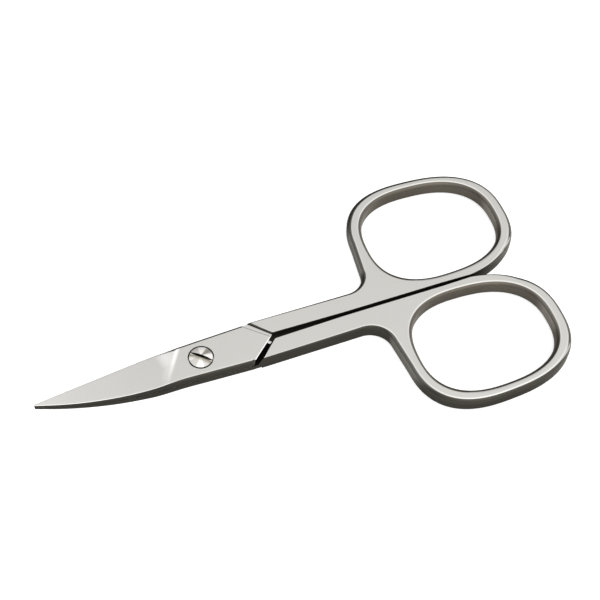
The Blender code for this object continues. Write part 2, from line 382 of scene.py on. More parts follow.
blade = {
    "length": 28.15 * mm,
    "flatReach": 13.5 * mm,  # the mating face is flat inside this radius
    "matingRadius": 60 * mm,
    "upperRadius": 71.2 * mm,
    "upperLowReach": 14.03 * mm,
    "upperDip": 0.58 * mm,
    "upperTilt": 0.05,  # deeper towards the cutting edge
    "upperSkew": 0.18,  # and starting nearer to the pivot there
    "underFlatReach": 8.0 * mm,
    "underRadius": 78 * mm,
    "plateEdge": 0.50 * mm,
    "spineEdge": 0.14 * mm,
    "cuttingFaceEdge": 0.06 * mm,
    "cuttingBevel": 0.04 * mm,
    "hollow": 0.10 * mm,
    "tongue": 3.0 * mm,
    "blendStart": 2.0 * mm,
    "blendEnd": 9.5 * mm,
    "edgeLimit": 0.33,
    "stations": 90,
    "crowding": 1.15,
    "faceSteps": 12,
    "outerSteps": 24,
    "edgeSteps": 8,
    "cornerSteps": 20,
    "widths": [  # share of the blade's length, share of the joint's half-width
        (0.00, 0.915),
        (0.15, 0.865),
        (0.30, 0.835),
        (0.44, 0.746),
        (0.58, 0.622),
        (0.73, 0.449),
        (0.87, 0.251),
        (0.96, 0.105),
        (1.00, 0.042),
    ],
}


def smoothValue(table, share):
    # Cubic through the table's points with slopes from their neighbours.
    for index in range(len(table) - 1):
        if share <= table[index + 1][0]:
            break

    def slope(at):
        before = table[max(at - 1, 0)]
        after = table[min(at + 1, len(table) - 1)]
        return (after[1] - before[1]) / (after[0] - before[0])

    (start, low), (end, high) = table[index], table[index + 1]
    span = end - start
    t = (share - start) / span
    square = t * t
    cube = square * t
    return (
        (2 * cube - 3 * square + 1) * low
        + (cube - 2 * square + t) * span * slope(index)
        + (3 * square - 2 * cube) * high
        + (cube - square) * span * slope(index + 1)
    )


def matingHeight(x, y):
    # Both halves slide on this one surface of revolution round the pivot.
    rise = arcRise(math.hypot(x, y) - blade["flatReach"], blade["matingRadius"])
    return stock["thickness"] / 2 + (rise if x < 0 else 0)


def outerHeight(x, u, side):
    # The upper half's top face is ground hollow along the blade, with a slanted start.
    reach = -x
    if side > 0:
        lowReach = blade["upperLowReach"] - blade["upperSkew"] * u
        dip = blade["upperDip"] + blade["upperTilt"] * u
        ground = arcRise(abs(reach - lowReach), blade["upperRadius"]) - dip
        if reach < lowReach:
            ground = min(ground, 0)
        return stock["thickness"] + ground
    return arcRise(reach - blade["underFlatReach"], blade["underRadius"])


def plateCornerX():
    return joint["veeReach"] - stock["halfWidth"] / math.tan(joint["veeTurn"])


def plateHalfWidth(x):
    widest = stock["halfWidth"] - stock["wallStep"]
    atPivot = blade["widths"][0][1]
    if x >= 0:
        share = min(x / plateCornerX(), 1)
        return widest * (atPivot + (1 - atPivot) * share)
    return widest * smoothValue(blade["widths"], -x / blade["length"])


def nearEdge(x):
    # Spine side in plan, as (u at the face, u at the lap), with the V behind the joint.
    width = plateHalfWidth(x)
    radius = joint["plateCorner"]
    turn = joint["veeTurn"]
    corner = plateCornerX()
    tangent = radius * math.tan(turn / 2)
    lean = handle["shoulderLean"] * limited((x - corner) / radius)
    if x <= corner - tangent:
        return -width, -width
    if x < corner + tangent * math.cos(turn):
        u = -width + arcRise(x - corner + tangent, radius)
        return u, u + lean
    if x <= joint["veeReach"]:
        u = (x - joint["veeReach"]) * math.tan(turn)
        return u, u + lean
    inside = handle["gapAtJoint"] / 2 + stock["wallStep"]
    return inside, inside


def bladeSection(x, side):
    nearFace, nearLap = nearEdge(x)
    width = plateHalfWidth(x)
    outer = outerHeight(x, 0, side) - side * stock["wallStep"]
    blend = limited((-x - blade["blendStart"]) / (blade["blendEnd"] - blade["blendStart"]))
    blend = blend * blend * (3 - 2 * blend)
    thickness = side * (outer - matingHeight(x, 0))
    inVee = x > plateCornerX()
    largest = blade["edgeLimit"] * min(thickness, 2 * width)
    spine = between(blade["plateEdge"], blade["spineEdge"], blend)
    nearRadius = min(handle["shoulderEdge"] if inVee else spine, largest)
    farRadius = min(between(blade["plateEdge"], blade["cuttingFaceEdge"], blend), largest)
    farFace = width - blade["cuttingBevel"] * blend
    turns = [math.pi / 2 * step / blade["edgeSteps"] for step in range(blade["edgeSteps"] + 1)]
    points = []
    for turn in turns:
        u = nearFace + nearRadius * (1 - math.cos(turn))
        points.append((u, nearRadius * (1 - math.sin(turn))))
    firstU, lastU = nearFace + nearRadius, farFace - farRadius
    for step in range(1, blade["outerSteps"]):
        points.append((between(firstU, lastU, step / blade["outerSteps"]), 0))
    for turn in reversed(turns):
        u = farFace - farRadius * (1 - math.cos(turn))
        points.append((u, farRadius * (1 - math.sin(turn))))
    section = []
    for u, down in points:
        section.append((x, side * u, outerHeight(x, u, side) - side * (stock["wallStep"] + down)))
    for step in range(blade["faceSteps"] + 1):
        share = step / blade["faceSteps"]
        u = between(width, nearLap, share)
        hollow = blade["hollow"] * blend * (1 - (2 * share - 1) ** 2)
        hollow *= min(thickness / (stock["thickness"] / 2), 1)
        section.append((x, side * u, matingHeight(x, u) + side * (stock["lapGap"] / 2 + hollow)))
    return section


def bladeMesh(name, side):
    turn = joint["veeTurn"]
    start = plateCornerX() - joint["plateCorner"] * math.tan(turn / 2)
    count = blade["stations"]
    shares = [(step / count) ** blade["crowding"] for step in range(count)]
    stations = [-blade["length"] * (1 - share) for share in shares]
    stations += [0, start / 2, start]
    turning = joint["plateCorner"] * math.sin(turn)
    steps = blade["cornerSteps"]
    stations += [start + turning * step / steps for step in range(1, steps + 1)]
    stations += [(plateCornerX() + joint["veeReach"]) / 2, joint["veeReach"]]
    stations.append(joint["veeReach"] + handle["gapAtJoint"] / 2)
    stations.append(joint["veeReach"] + joint["slotLength"] + blade["tongue"])
    return meshFromRings(name, [bladeSection(x, side) for x in stations])


def stepCutter(name, side):
    # Shallow step on the outer face, between the plate's V and the shank.
    face = stock["thickness"] if side > 0 else 0
    vee = joint["veeReach"]
    end = vee + joint["slotLength"] + blade["tongue"] + stock["cutPast"]
    near, far = -handle["gapAtJoint"] / 2, stock["halfWidth"] + stock["cutPast"]
    nearX, farX = (vee - u / math.tan(joint["veeTurn"]) for u in (near, far))
    plan = [(vee, 0), (nearX, near), (end, near), (end, far), (farX, far)]
    # The plate's edge is chamfered: the cutter widens above it, square to the V's far side.
    chamfer, past = joint["stepChamfer"], stock["cutPast"]
    rings = []
    for height, flare in ((-joint["stepDepth"], 0), (-chamfer, 0), (past, chamfer + past)):
        shift = flare / math.sin(joint["veeTurn"])
        level = face + side * height
        rings.append([(x - (shift if x < end else 0), side * u, level) for x, u in plan])
    return meshFromRings(name, rings)


# Screw

screw = {
    "headRadius": 2.00 * mm,
    "headGap": 0.20 * mm,
    "seatDepth": 0.85 * mm,
    "domeHeight": 0.50 * mm,
    "rimDrop": 0.02 * mm,
    "rimRadius": 0.10 * mm,
    "shankRadius": 1.30 * mm,
    "runningGap": 0.15 * mm,
    "threadGap": 0.10 * mm,
    "slotWidth": 0.50 * mm,
    "slotDepth": 0.62 * mm,
    "slotTurn": -41,  # degrees
    "turnSteps": 192,
    "domeSteps": 20,
    "rimSteps": 5,
}


def boreProfile(side):
    past = stock["cutPast"]
    if side < 0:
        radius = screw["shankRadius"] + screw["threadGap"]
        top = stock["thickness"] / 2 + past
        return [(0, top), (radius, top), (radius, -past), (0, -past)]
    head = screw["headRadius"] + screw["headGap"]
    shank = screw["shankRadius"] + screw["runningGap"]
    top = stock["thickness"] + past
    seat = stock["thickness"] - screw["seatDepth"]
    return [(0, top), (head, top), (head, seat), (shank, seat), (shank, 0), (0, 0)]


materialSlots = {"satin": 0, "recess": 1, "hole": 2, "edge": 3}  # material slots of a half: recess is painted shade, hole a lighter painted wall shade, edge a painted highlight

# Where the painted shade goes, and the painted highlight on the plate's edge.
recess = {
    "level": 0.55,  # how level a face may be and still count as a wall
    "slotStart": 7.2 * mm,
    "nearStart": 8.4 * mm,
    "slotEnd": 14.5 * mm,
    "slotBack": 0.52 * mm,  # how far the plate's end leans in at the lap
    "slotSide": 0.6 * mm,  # only the near side of the V, which sees no light
    "slotFacing": 0.4,
    "edgeFacing": 0.08,  # the plate's edge with its painted highlight, from here to the wall below it
    "edgeLevel": 0.25,
    "reach": 0.02 * mm,
    "rimLevel": 0.8,
}


def insideHole(x, u, side):
    # Inside the finger hole, with its rounding.
    hole = handle["hole"]
    centreX = hole["centreX"] + side * handle["ringOffset"]
    along = abs(x - centreX) / (hole["length"] / 2 + handle["ringEdge"])
    across = abs(u - holeCentre()) / (hole["width"] / 2 + handle["ringEdge"])
    return along ** hole["squareness"] + across ** hole["squareness"] < 1


def splitSlotFloor(made):
    # Cuts the lap face where the upper half's plate ends. What lies past it is the slot's floor.
    shape = bmesh.new()
    shape.from_mesh(made.data)
    turn = joint["veeTurn"]
    bmesh.ops.bisect_plane(
        shape,
        geom=shape.verts[:] + shape.edges[:] + shape.faces[:],
        dist=stock["mergeDistance"],
        plane_co=(joint["veeReach"] - recess["slotBack"], 0, 0),
        plane_no=(math.sin(turn), -math.cos(turn), 0),
    )
    shape.to_mesh(made.data)
    shape.free()


def slotOf(polygon, side):
    # Which material slot a face of a half takes: the first that fits.
    x, y, z = polygon.center
    normal = polygon.normal
    middle = stock["thickness"] / 2
    level = abs(normal.z) > recess["level"]
    facing = abs(normal.x) > recess["slotFacing"]
    inReach = x < recess["slotEnd"]
    onNear = inReach and x > recess["nearStart"] and -stock["halfWidth"] < y < recess["slotSide"]
    onFar = inReach and x > recess["slotStart"] and y > recess["slotSide"]
    onEdge = normal.x > recess["edgeFacing"] and normal.z > recess["edgeLevel"]
    # The near edge of the upper plate's V takes the painted highlight.
    if side > 0 and onNear and onEdge:
        return "edge"
    inSeat = math.hypot(x, y) < screw["headRadius"] + 2 * screw["headGap"]
    inSeat = inSeat and z > stock["thickness"] - screw["seatDepth"]
    # Painted shade on the walls of the screw's seat and near the slot on the V's near side.
    if not level and (inSeat or onNear and facing):
        return "recess"
    # On the far side of the V, walls facing -x take the lighter painted wall shade and the rest
    # take painted shade.
    if side > 0 and onFar and facing:
        return "hole" if normal.x < 0 else "recess"
    # Past the upper plate's end, the lower half's lap face is painted shade.
    turn = joint["veeTurn"]
    past = (x - joint["veeReach"] + recess["slotBack"]) * math.sin(turn) + side * y * math.cos(turn)
    onLap = side < 0 and level and abs(z - middle) < 2 * stock["lapGap"]
    if onLap and inReach and past > 0:
        return "recess"
    # The finger holes' walls take the lighter painted wall shade.
    return "hole" if insideHole(x, side * y, side) else "satin"


def makeHalf(name, side):
    made = addObject(name, handleMesh(name, side))
    plate = addObject(name + "Plate", bladeMesh(name + "Plate", side))
    combine(plate, addObject(name + "Step", stepCutter(name + "Step", side)), "DIFFERENCE")
    combine(made, plate, "UNION")
    bore = turnedMesh(name + "Bore", boreProfile(side), screw["turnSteps"])
    combine(made, addObject(name + "Bore", bore), "DIFFERENCE")
    finishMesh(made)
    if side < 0:
        splitSlotFloor(made)
    for polygon in made.data.polygons:
        polygon.material_index = materialSlots[slotOf(polygon, side)]
    print(name, len(made.data.polygons), "faces")
    return made


def makeScrew():
    rim = stock["thickness"] - screw["rimDrop"]
    seat = stock["thickness"] - screw["seatDepth"] + stock["lapGap"]
    radius = screw["headRadius"]
    domeRadius = (radius**2 + screw["domeHeight"] ** 2) / (2 * screw["domeHeight"])
    rounding = screw["rimRadius"]
    profile = []
    for step in range(screw["domeSteps"] + 1):
        reach = (radius - rounding) * step / screw["domeSteps"]
        profile.append((reach, rim + screw["domeHeight"] - arcRise(reach, domeRadius)))
    edge = profile[-1][1]
    slope = math.asin((radius - rounding) / domeRadius)
    for step in range(1, screw["rimSteps"] + 1):
        turn = slope + (math.pi / 2 - slope) * step / screw["rimSteps"]
        swing = rounding * (math.sin(turn) - math.sin(slope)) / (1 - math.sin(slope))
        drop = rounding * (math.cos(slope) - math.cos(turn))
        profile.append((radius - rounding + swing, edge - drop))
    profile += [(radius, seat), (screw["shankRadius"], seat), (screw["shankRadius"], 0), (0, 0)]
    made = addObject("pivotScrew", turnedMesh("pivotScrew", profile, screw["turnSteps"]))
    top = rim + screw["domeHeight"]
    wideSide = screw["slotWidth"] / 2
    plan = rectangle(radius + stock["cutPast"], wideSide)
    floor = [(x, y, top - screw["slotDepth"]) for x, y in plan]
    roof = [(x, y, top + stock["cutPast"]) for x, y in plan]
    slot = addObject("screwSlot", meshFromRings("screwSlot", [floor, roof]))
    turn = math.radians(screw["slotTurn"])
    slot.rotation_euler.z = turn
    combine(made, slot, "DIFFERENCE")
    finishMesh(made)
    across = Vector((-math.sin(turn), math.cos(turn), 0))
    slotFloor = top - screw["slotDepth"]
    # The screw's rim rounding and the slot's walls take the painted shade.
    for polygon in made.data.polygons:
        centre, normal = polygon.center, polygon.normal
        onRim = centre.xy.length > radius - rounding and normal.z < recess["rimLevel"]
        inSlot = abs(centre.dot(across)) < wideSide + recess["reach"] and centre.z > slotFloor
        if onRim or inSlot and abs(normal.dot(across)) > recess["level"]:
            polygon.material_index = materialSlots["recess"]
    print("pivotScrew", len(made.data.polygons), "faces")
    return made


# Materials. Each helper adds a node, takes plain values or the outputs of other nodes,
# and gives its own output back.

number = "NodeSocketFloat"
firstInput = {"FLOAT": 2, "VECTOR": 4, "RGBA": 6}  # of a mix node, by the kind of its data


def feed(tree, socket, value):
    if isinstance(value, bpy.types.NodeSocket):
        tree.links.new(value, socket)
    else:
        socket.default_value = value


def fill(tree, node, values):
    # Each value goes to the node's property of that name, or else to its socket.
    for name, value in values.items():
        if hasattr(node, name):
            setattr(node, name, value)
        else:
            feed(tree, node.inputs[name.replace("_", " ")], value)


def addNode(tree, kind, x, y, **values):
    made = tree.nodes.new(kind)
    made.location = (x, y)
    fill(tree, made, values)
    return made


def addMath(tree, x, y, operation, *values):
    made = addNode(tree, "ShaderNodeMath", x, y, operation=operation)
    for socket, value in zip(made.inputs, values):
        feed(tree, socket, value)
    return made.outputs[0]


def addRange(tree, x, y, value, limits, results=(0, 1), smooth=False):
    # Takes a value from its limits to the results, straight or with a soft start and end.
    kind = "SMOOTHSTEP" if smooth else "LINEAR"
    made = addNode(tree, "ShaderNodeMapRange", x, y, interpolation_type=kind, Value=value)
    for name, end in zip(("From Min", "From Max", "To Min", "To Max"), (*limits, *results)):
        feed(tree, made.inputs[name], end)
    return made.outputs[0]


def addBlend(tree, x, y, amount, first, second, kind="RGBA"):
    made = addNode(tree, "ShaderNodeMix", x, y, data_type=kind)
    start = firstInput[kind]
    feed(tree, made.inputs[0], amount)
    feed(tree, made.inputs[start], first)
    feed(tree, made.inputs[start + 1], second)
    return made.outputs[start // 2 - 1]


def addVectorMath(tree, x, y, operation, *values):
    made = addNode(tree, "ShaderNodeVectorMath", x, y, operation=operation)
    for socket, value in zip(made.inputs, values):
        feed(tree, socket, value)
    return made.outputs["Value" if operation == "DOT_PRODUCT" else "Vector"]


def addParts(tree, x, y, vector):
    return addNode(tree, "ShaderNodeSeparateXYZ", x, y, Vector=vector).outputs


def makeGroup(name, inputs, outputs):
    tree = bpy.data.node_groups.new(name, "ShaderNodeTree")
    for label, kind, value in inputs:
        socket = tree.interface.new_socket(name=label, in_out="INPUT", socket_type=kind)
        socket.default_value = value
    for label, kind in outputs:
        tree.interface.new_socket(name=label, in_out="OUTPUT", socket_type=kind)
    entry = addNode(tree, "NodeGroupInput", -1900, 0)
    leave = addNode(tree, "NodeGroupOutput", 700, 0)
    return tree, entry.outputs, leave


def startMaterial(name, groups):
    material = bpy.data.materials.new(name)
    material.use_nodes = True
    tree = material.node_tree
    grain = addNode(tree, "ShaderNodeGroup", -1100, 200, node_tree=groups["grain"])
    return material, tree, tree.nodes["Principled BSDF"], grain.outputs


grinding = {
    "lines": 9000,  # fineness across the grain
    "stretch": 0.04,  # and how much coarser it is along X
    "lineDetail": 3,
    "lineRoughness": 0.6,
    "clouds": 160,
    "cloudDetail": 2,
    "cloudRoughness": 0.5,
}


def makeGrain():
    # Fine grinding lines: noise stretched along X, with a slower cloud of tone over it.
    tree, entry, leave = makeGroup(
        "grindingLines",
        [
            ("Lines", number, grinding["lines"]),
            ("Stretch", number, grinding["stretch"]),
            ("Clouds", number, grinding["clouds"]),
        ],
        [("Height", number), ("Tone", number)],
    )
    place = addNode(tree, "ShaderNodeTexCoord", -1300, -250).outputs["Object"]
    squeeze = addNode(tree, "ShaderNodeCombineXYZ", -1100, -100, X=entry["Stretch"], Y=1, Z=1)
    stretched = addVectorMath(tree, -900, -150, "MULTIPLY", place, squeeze.outputs[0])
    lines = addNode(tree, "ShaderNodeTexNoise", -600, 100)
    fill(tree, lines, {
        "Vector": stretched,
        "Scale": entry["Lines"],
        "Detail": grinding["lineDetail"],
        "Roughness": grinding["lineRoughness"],
    })
    clouds = addNode(tree, "ShaderNodeTexNoise", -600, -250)
    fill(tree, clouds, {
        "Vector": place,
        "Scale": entry["Clouds"],
        "Detail": grinding["cloudDetail"],
        "Roughness": grinding["cloudRoughness"],
    })
    both = addMath(tree, -300, 0, "ADD", lines.outputs[0], clouds.outputs[0])
    tone = addMath(tree, -100, 0, "MULTIPLY", both, 1 / 2)
    fill(tree, leave, {"Height": lines.outputs[0], "Tone": tone})
    return tree


def makeLevelledGrain():
    # The grain's bump, turned towards straight up, for faces that show flatter than they are.
    tree, entry, leave = makeGroup(
        "levelledGrain",
        [("Height", number, 0), ("Bump", number, 0), ("Depth", number, 0), ("Flatness", number, 0)],
        [("Normal", "NodeSocketVector")],
    )
    bump = addNode(tree, "ShaderNodeBump", -600, 0)
    fill(tree, bump, {
        "Strength": entry["Bump"],
        "Distance": entry["Depth"],
        "Height": entry["Height"],
    })
    flatter = addBlend(tree, -300, 0, entry["Flatness"], bump.outputs[0], (0, 0, 1), "VECTOR")
    fill(tree, leave, {"Normal": addVectorMath(tree, 0, 0, "NORMALIZE", flatter)})
    return tree


def addLevelledGrain(tree, groups, grain, steel):
    made = addNode(tree, "ShaderNodeGroup", -700, -300, node_tree=groups["levelled"])
    fill(tree, made, {
        "Height": grain["Height"],
        "Bump": steel["bump"],
        "Depth": steel["depth"],
        "Flatness": steel["flatness"],
    })
    return made.outputs["Normal"]


faceMask = {  # where painted light and shade go by the normal; a pair says where a tone starts to turn, and where it has turned
    "start": 0.97,  # the normal's Z on a rounding above a wall
    "end": 0.92,
    "under": -0.96,  # and on one below it
    "nearSide": (-0.15, -0.5),
    "farSide": 0.06,
    "shank": (40 * mm, 32 * mm),  # from the rings to the shank
    "shankOuter": -2.4,  # how soon the painted shade on the far rounding of plate and shank starts
    "plate": (-5.0 * mm, -2.8 * mm),  # from the ground blade, where it stays light, to the plate
    "rim": (0.9995, 0.98),
    "straight": (0.35, 0.05),
    "straightSide": 0.36,
    "shoulder": (0.15, 0.55),
    "turnedAway": (0.45, 0.05),
}


def makeFaceMask():
    # Painted light and shade by the normal. The wall mask is 0 on the flat faces and 1 on the side
    # walls, which are painted dark as shade. The rim mask, a painted highlight, peaks on the
    # roundings between them.
    tree, entry, leave = makeGroup(
        "faceMask",
        [
            ("Start", number, faceMask["start"]),
            ("End", number, faceMask["end"]),
            ("Under", number, faceMask["under"]),
            ("Onward", number, 0),
            ("Outer", number, 0),
        ],
        [("WallShade", number), ("RimHighlight", number), ("Side", number), ("Shoulder", number)],
    )
    geometry = addNode(tree, "ShaderNodeNewGeometry", -1900, -250)
    normal = addParts(tree, -1700, -250, geometry.outputs["Normal"])
    place = addNode(tree, "ShaderNodeTexCoord", -1900, 500)
    along = addParts(tree, -1700, 500, place.outputs["Object"])["X"]
    # Painted light: a near rounding that faces the rings' end stays light for longer.
    onward = addMath(tree, -1500, -500, "MAXIMUM", normal["X"], 0)
    square = addMath(tree, -1300, -500, "POWER", onward, 2)
    nearer = addRange(tree, -1500, 300, normal["Y"], faceMask["nearSide"], smooth=True)
    gain = addMath(tree, -1300, 250, "MULTIPLY", nearer, entry["Onward"])
    lift = addMath(tree, -1100, 200, "MULTIPLY_ADD", square, gain, 1)
    # Painted shade: the far rounding of plate and shank turns dark at once, but not that of the
    # ground blade.
    darkening = (entry["Outer"], faceMask["shankOuter"])
    onShank = addRange(tree, -1500, 550, along, faceMask["shank"], darkening)
    beyond = addMath(tree, -1500, 800, "SUBTRACT", normal["Y"], faceMask["farSide"])
    farther = addMath(tree, -1300, 800, "MAXIMUM", beyond, 0)
    onPlate = addRange(tree, -1500, 1050, along, faceMask["plate"])
    darker = addMath(tree, -1100, 800, "MULTIPLY", farther, onPlate)
    drop = addMath(tree, -900, 600, "MULTIPLY_ADD", darker, onShank, lift)
    lifted = addMath(tree, -700, 100, "MULTIPLY", drop, normal["Z"])
    below = addRange(tree, -500, 0, lifted, (entry["Start"], entry["End"]), smooth=True)
    over = addRange(tree, -500, -300, normal["Z"], (-1, entry["Under"]), smooth=True)
    wall = addMath(tree, -250, 0, "MULTIPLY", below, over)
    other = addMath(tree, 0, -200, "SUBTRACT", 1, wall)
    rim = addRange(tree, 0, -400, normal["Z"], faceMask["rim"], smooth=True)
    # The side mask, painted light, grows on the walls that face the rings' end, and on those that
    # face straight to the tips.
    away = addMath(tree, -1100, -800, "ABSOLUTE", normal["Y"])
    towards = (0, faceMask["straightSide"])
    straight = addRange(tree, -900, -800, away, faceMask["straight"], towards, smooth=True)
    # The shoulder mask is painted light on the rounding between face and wall, but not on the side
    # turned away.
    leaving = addRange(tree, -900, -1100, normal["Z"], faceMask["shoulder"], smooth=True)
    turned = addRange(tree, -900, -1400, normal["Y"], faceMask["turnedAway"], smooth=True)
    fill(tree, leave, {
        "WallShade": wall,
        "RimHighlight": addMath(tree, 300, -300, "MULTIPLY", other, rim),
        "Side": addMath(tree, -500, -700, "MAXIMUM", square, straight),
        "Shoulder": addMath(tree, -500, -1100, "MULTIPLY", leaving, turned),
    })
    return tree


crease = {
    "reach": 4.40 * mm,  # where the ground face starts on the middle line
    "slant": 0.62,
    "start": 0.5 * mm,
    "fade": (0.4 * mm, 3.1 * mm),  # from the full streak to its end, past the start
    "widening": 0.8,
    "ground": 0.14,  # the whole ground face is painted this much brighter than the flats
    "across": (-3.6 * mm, 0.8 * mm),
    "edge": (-5 * mm, -12 * mm),  # the rounding along the blade keeps its painted light farther round, from here to there
    "edgeEnd": 0.5,
}


def addCrease(tree):
    # A painted highlight on the ground face where it starts, most of all at the cutting edge.
    place = addNode(tree, "ShaderNodeTexCoord", -2500, 700)
    parts = addParts(tree, -2300, 700, place.outputs["Object"])
    slant, reach = crease["slant"], crease["reach"]
    slanted = addMath(tree, -2100, 800, "MULTIPLY_ADD", parts["Y"], slant, -reach)
    past = addMath(tree, -1900, 800, "SUBTRACT", slanted, parts["X"])
    begun = addRange(tree, -1700, 950, past, (0, crease["start"]))
    # Towards the cutting edge the bright part reaches farther along the blade.
    outward = addMath(tree, -2100, 550, "MAXIMUM", parts["Y"], 0)
    widened = addMath(tree, -1900, 550, "MULTIPLY_ADD", outward, -crease["widening"], past)
    fading = addRange(tree, -1700, 650, widened, crease["fade"], (1, 0), smooth=True)
    across = addRange(tree, -1700, 350, parts["Y"], crease["across"])
    both = addMath(tree, -1500, 800, "MULTIPLY", begun, fading)
    streak = addMath(tree, -1300, 700, "MULTIPLY", both, across)
    ground = addMath(tree, -1300, 950, "MULTIPLY", begun, crease["ground"])
    amount = addMath(tree, -1100, 800, "MAXIMUM", streak, ground)
    turning = (faceMask["end"], crease["edgeEnd"])
    return amount, addRange(tree, -1700, 50, parts["X"], crease["edge"], turning)


halfSteel = {
    "face": (0.640, 0.632, 0.600, 1),
    "faceDark": (0.590, 0.584, 0.556, 1),
    # Painted shade: the walls are dark by their normal, and the finger holes' walls are a lighter
    # painted shade. Each pair's second tone is random grain.
    "wall": (0.033, 0.030, 0.0245, 1),
    "wallLight": (0.056, 0.0525, 0.045, 1),
    "litHoleWall": (0.062, 0.054, 0.044, 1),
    "litHoleWallLight": (0.112, 0.100, 0.084, 1),
    # Painted light on walls that face the rings' end or straight to the tips.
    "litSideWall": (0.33, 0.315, 0.28, 1),
    # Painted highlight on the roundings between face and wall.
    "rim": (0.74, 0.73, 0.70, 1),
    # Painted highlight where the ground face starts.
    "creaseHighlight": (0.99, 0.98, 0.965, 1),
    "edgeTint": (0.5, 0.5, 0.5, 1),
    "onward": 1.2,  # how much longer the near rounding keeps its painted light towards the rings' end
    "outer": -0.35,  # how soon the painted shade on the far rounding of the rings starts
    "shoulderGain": 0.35,  # how much painted light lifts the rounding above a wall
    "faceRoughness": (0.24, 0.34),
    "buffedRoughness": 0.10,
    "wallRoughness": 0.45,
    "bump": 0.04,
    "depth": 0.01 * mm,
}


def makeHalfSteel(name, groups, wallTones, creased):
    material, tree, shader, grain = startMaterial(name, groups)
    mask = addNode(tree, "ShaderNodeGroup", -1100, -200, node_tree=groups["mask"])
    if wallTones == "wall":
        fill(tree, mask, {"Onward": halfSteel["onward"], "Outer": halfSteel["outer"]})
    tone, onWall = grain["Tone"], mask.outputs["WallShade"]
    face = addBlend(tree, -800, 500, tone, halfSteel["faceDark"], halfSteel["face"])
    satin = addRange(tree, -800, -300, tone, (0, 1), halfSteel["faceRoughness"])
    if creased:
        # The painted highlight on the ground face, and painted light farther round the blade's
        # rounding.
        amount, litRounding = addCrease(tree)
        fill(tree, mask, {"End": litRounding})
        face = addBlend(tree, -600, 500, amount, face, halfSteel["creaseHighlight"])
        satin = addBlend(tree, -600, -300, amount, satin, halfSteel["buffedRoughness"], "FLOAT")
    # Walls get the painted shade. The side and shoulder masks lay painted light over it.
    wall = addBlend(tree, -800, 200, tone, halfSteel[wallTones], halfSteel[wallTones + "Light"])
    aside = addBlend(tree, -600, 200, mask.outputs["Side"], wall, halfSteel["litSideWall"])
    gain = halfSteel["shoulderGain"]
    lift = addMath(tree, -800, -50, "MULTIPLY_ADD", mask.outputs["Shoulder"], gain, 1)
    lifted = addNode(tree, "ShaderNodeVectorMath", -400, 100, operation="SCALE")
    fill(tree, lifted, {"Vector": aside, "Scale": lift})
    both = addBlend(tree, -400, 400, onWall, face, lifted.outputs[0])
    bump = addNode(tree, "ShaderNodeBump", -400, -500, Height=grain["Height"])
    fill(tree, bump, {"Strength": halfSteel["bump"], "Distance": halfSteel["depth"]})
    # The rim mask lays a painted highlight over everything.
    fill(tree, shader, {
        "Metallic": 1,
        "Specular Tint": halfSteel["edgeTint"],
        "Base Color": addBlend(tree, -200, 300, mask.outputs["RimHighlight"], both, halfSteel["rim"]),
        "Roughness": addBlend(tree, -400, -200, onWall, satin, halfSteel["wallRoughness"], "FLOAT"),
        "Normal": bump.outputs[0],
    })
    return material


recessShadeSteel = {
    # Near black: painted shade.
    "colour": (0.010, 0.009, 0.008, 1),
    "colourDark": (0.004, 0.004, 0.004, 1),
    "roughness": 0.8,
    "shine": 0,
}


def makeRecessShadeSteel(groups):
    # Walls that see hardly any light, painted near black as shade.
    material, tree, shader, grain = startMaterial("recessShadeSteel", groups)
    colours = (recessShadeSteel["colourDark"], recessShadeSteel["colour"])
    fill(tree, shader, {
        "Base Color": addBlend(tree, -400, 200, grain["Tone"], *colours),
        "Roughness": recessShadeSteel["roughness"],
        "Specular IOR Level": recessShadeSteel["shine"],
    })
    return material


highlightEdgeSteel = {
    "colour": (0.99, 0.985, 0.975, 1),
    "colourDark": (0.97, 0.965, 0.95, 1),
    "roughness": 0.14,
    "flatness": 0.86,
    "bump": 0.02,
    "depth": 0.01 * mm,
}


def makeHighlightEdgeSteel(groups):
    # The bright line along the plate's edge: polished, hardly wider than a hair, its near white
    # colour a painted highlight.
    material, tree, shader, grain = startMaterial("highlightEdgeSteel", groups)
    colours = (highlightEdgeSteel["colourDark"], highlightEdgeSteel["colour"])
    fill(tree, shader, {
        "Metallic": 1,
        "Base Color": addBlend(tree, -400, 200, grain["Tone"], *colours),
        "Roughness": highlightEdgeSteel["roughness"],
        "Normal": addLevelledGrain(tree, groups, grain, highlightEdgeSteel),
    })
    return material


screwSteel = {
    # The light and dark sectors are a painted reflection.
    "colour": (0.93, 0.90, 0.87, 1),
    "colourDark": (0.30, 0.285, 0.25, 1),
    # Painted reflection of the slot, below it.
    "slotShade": (0.30, 0.275, 0.21, 1),
    "slotReach": (-1.0 * mm, -0.20 * mm),  # where the slot's shade starts and is full
    "sectorTurn": math.radians(-21),
    "sectorCount": 4,
    "sectorNoise": 2.4,
    "sectorEdges": (-1, 0.6),  # from dark to light over the wave
    "darkSide": math.radians(25),
    "darkReach": (0.9, 0.3),  # away from the dark side the sectors are lighter
    "darkEnd": 0.55,
    "roughness": (0.14, 0.24),
    "turned": 0.6,  # how far the highlights stretch across the turning marks
    "flatness": 0.6,
    "bump": 0.03,
    "depth": 0.01 * mm,
}


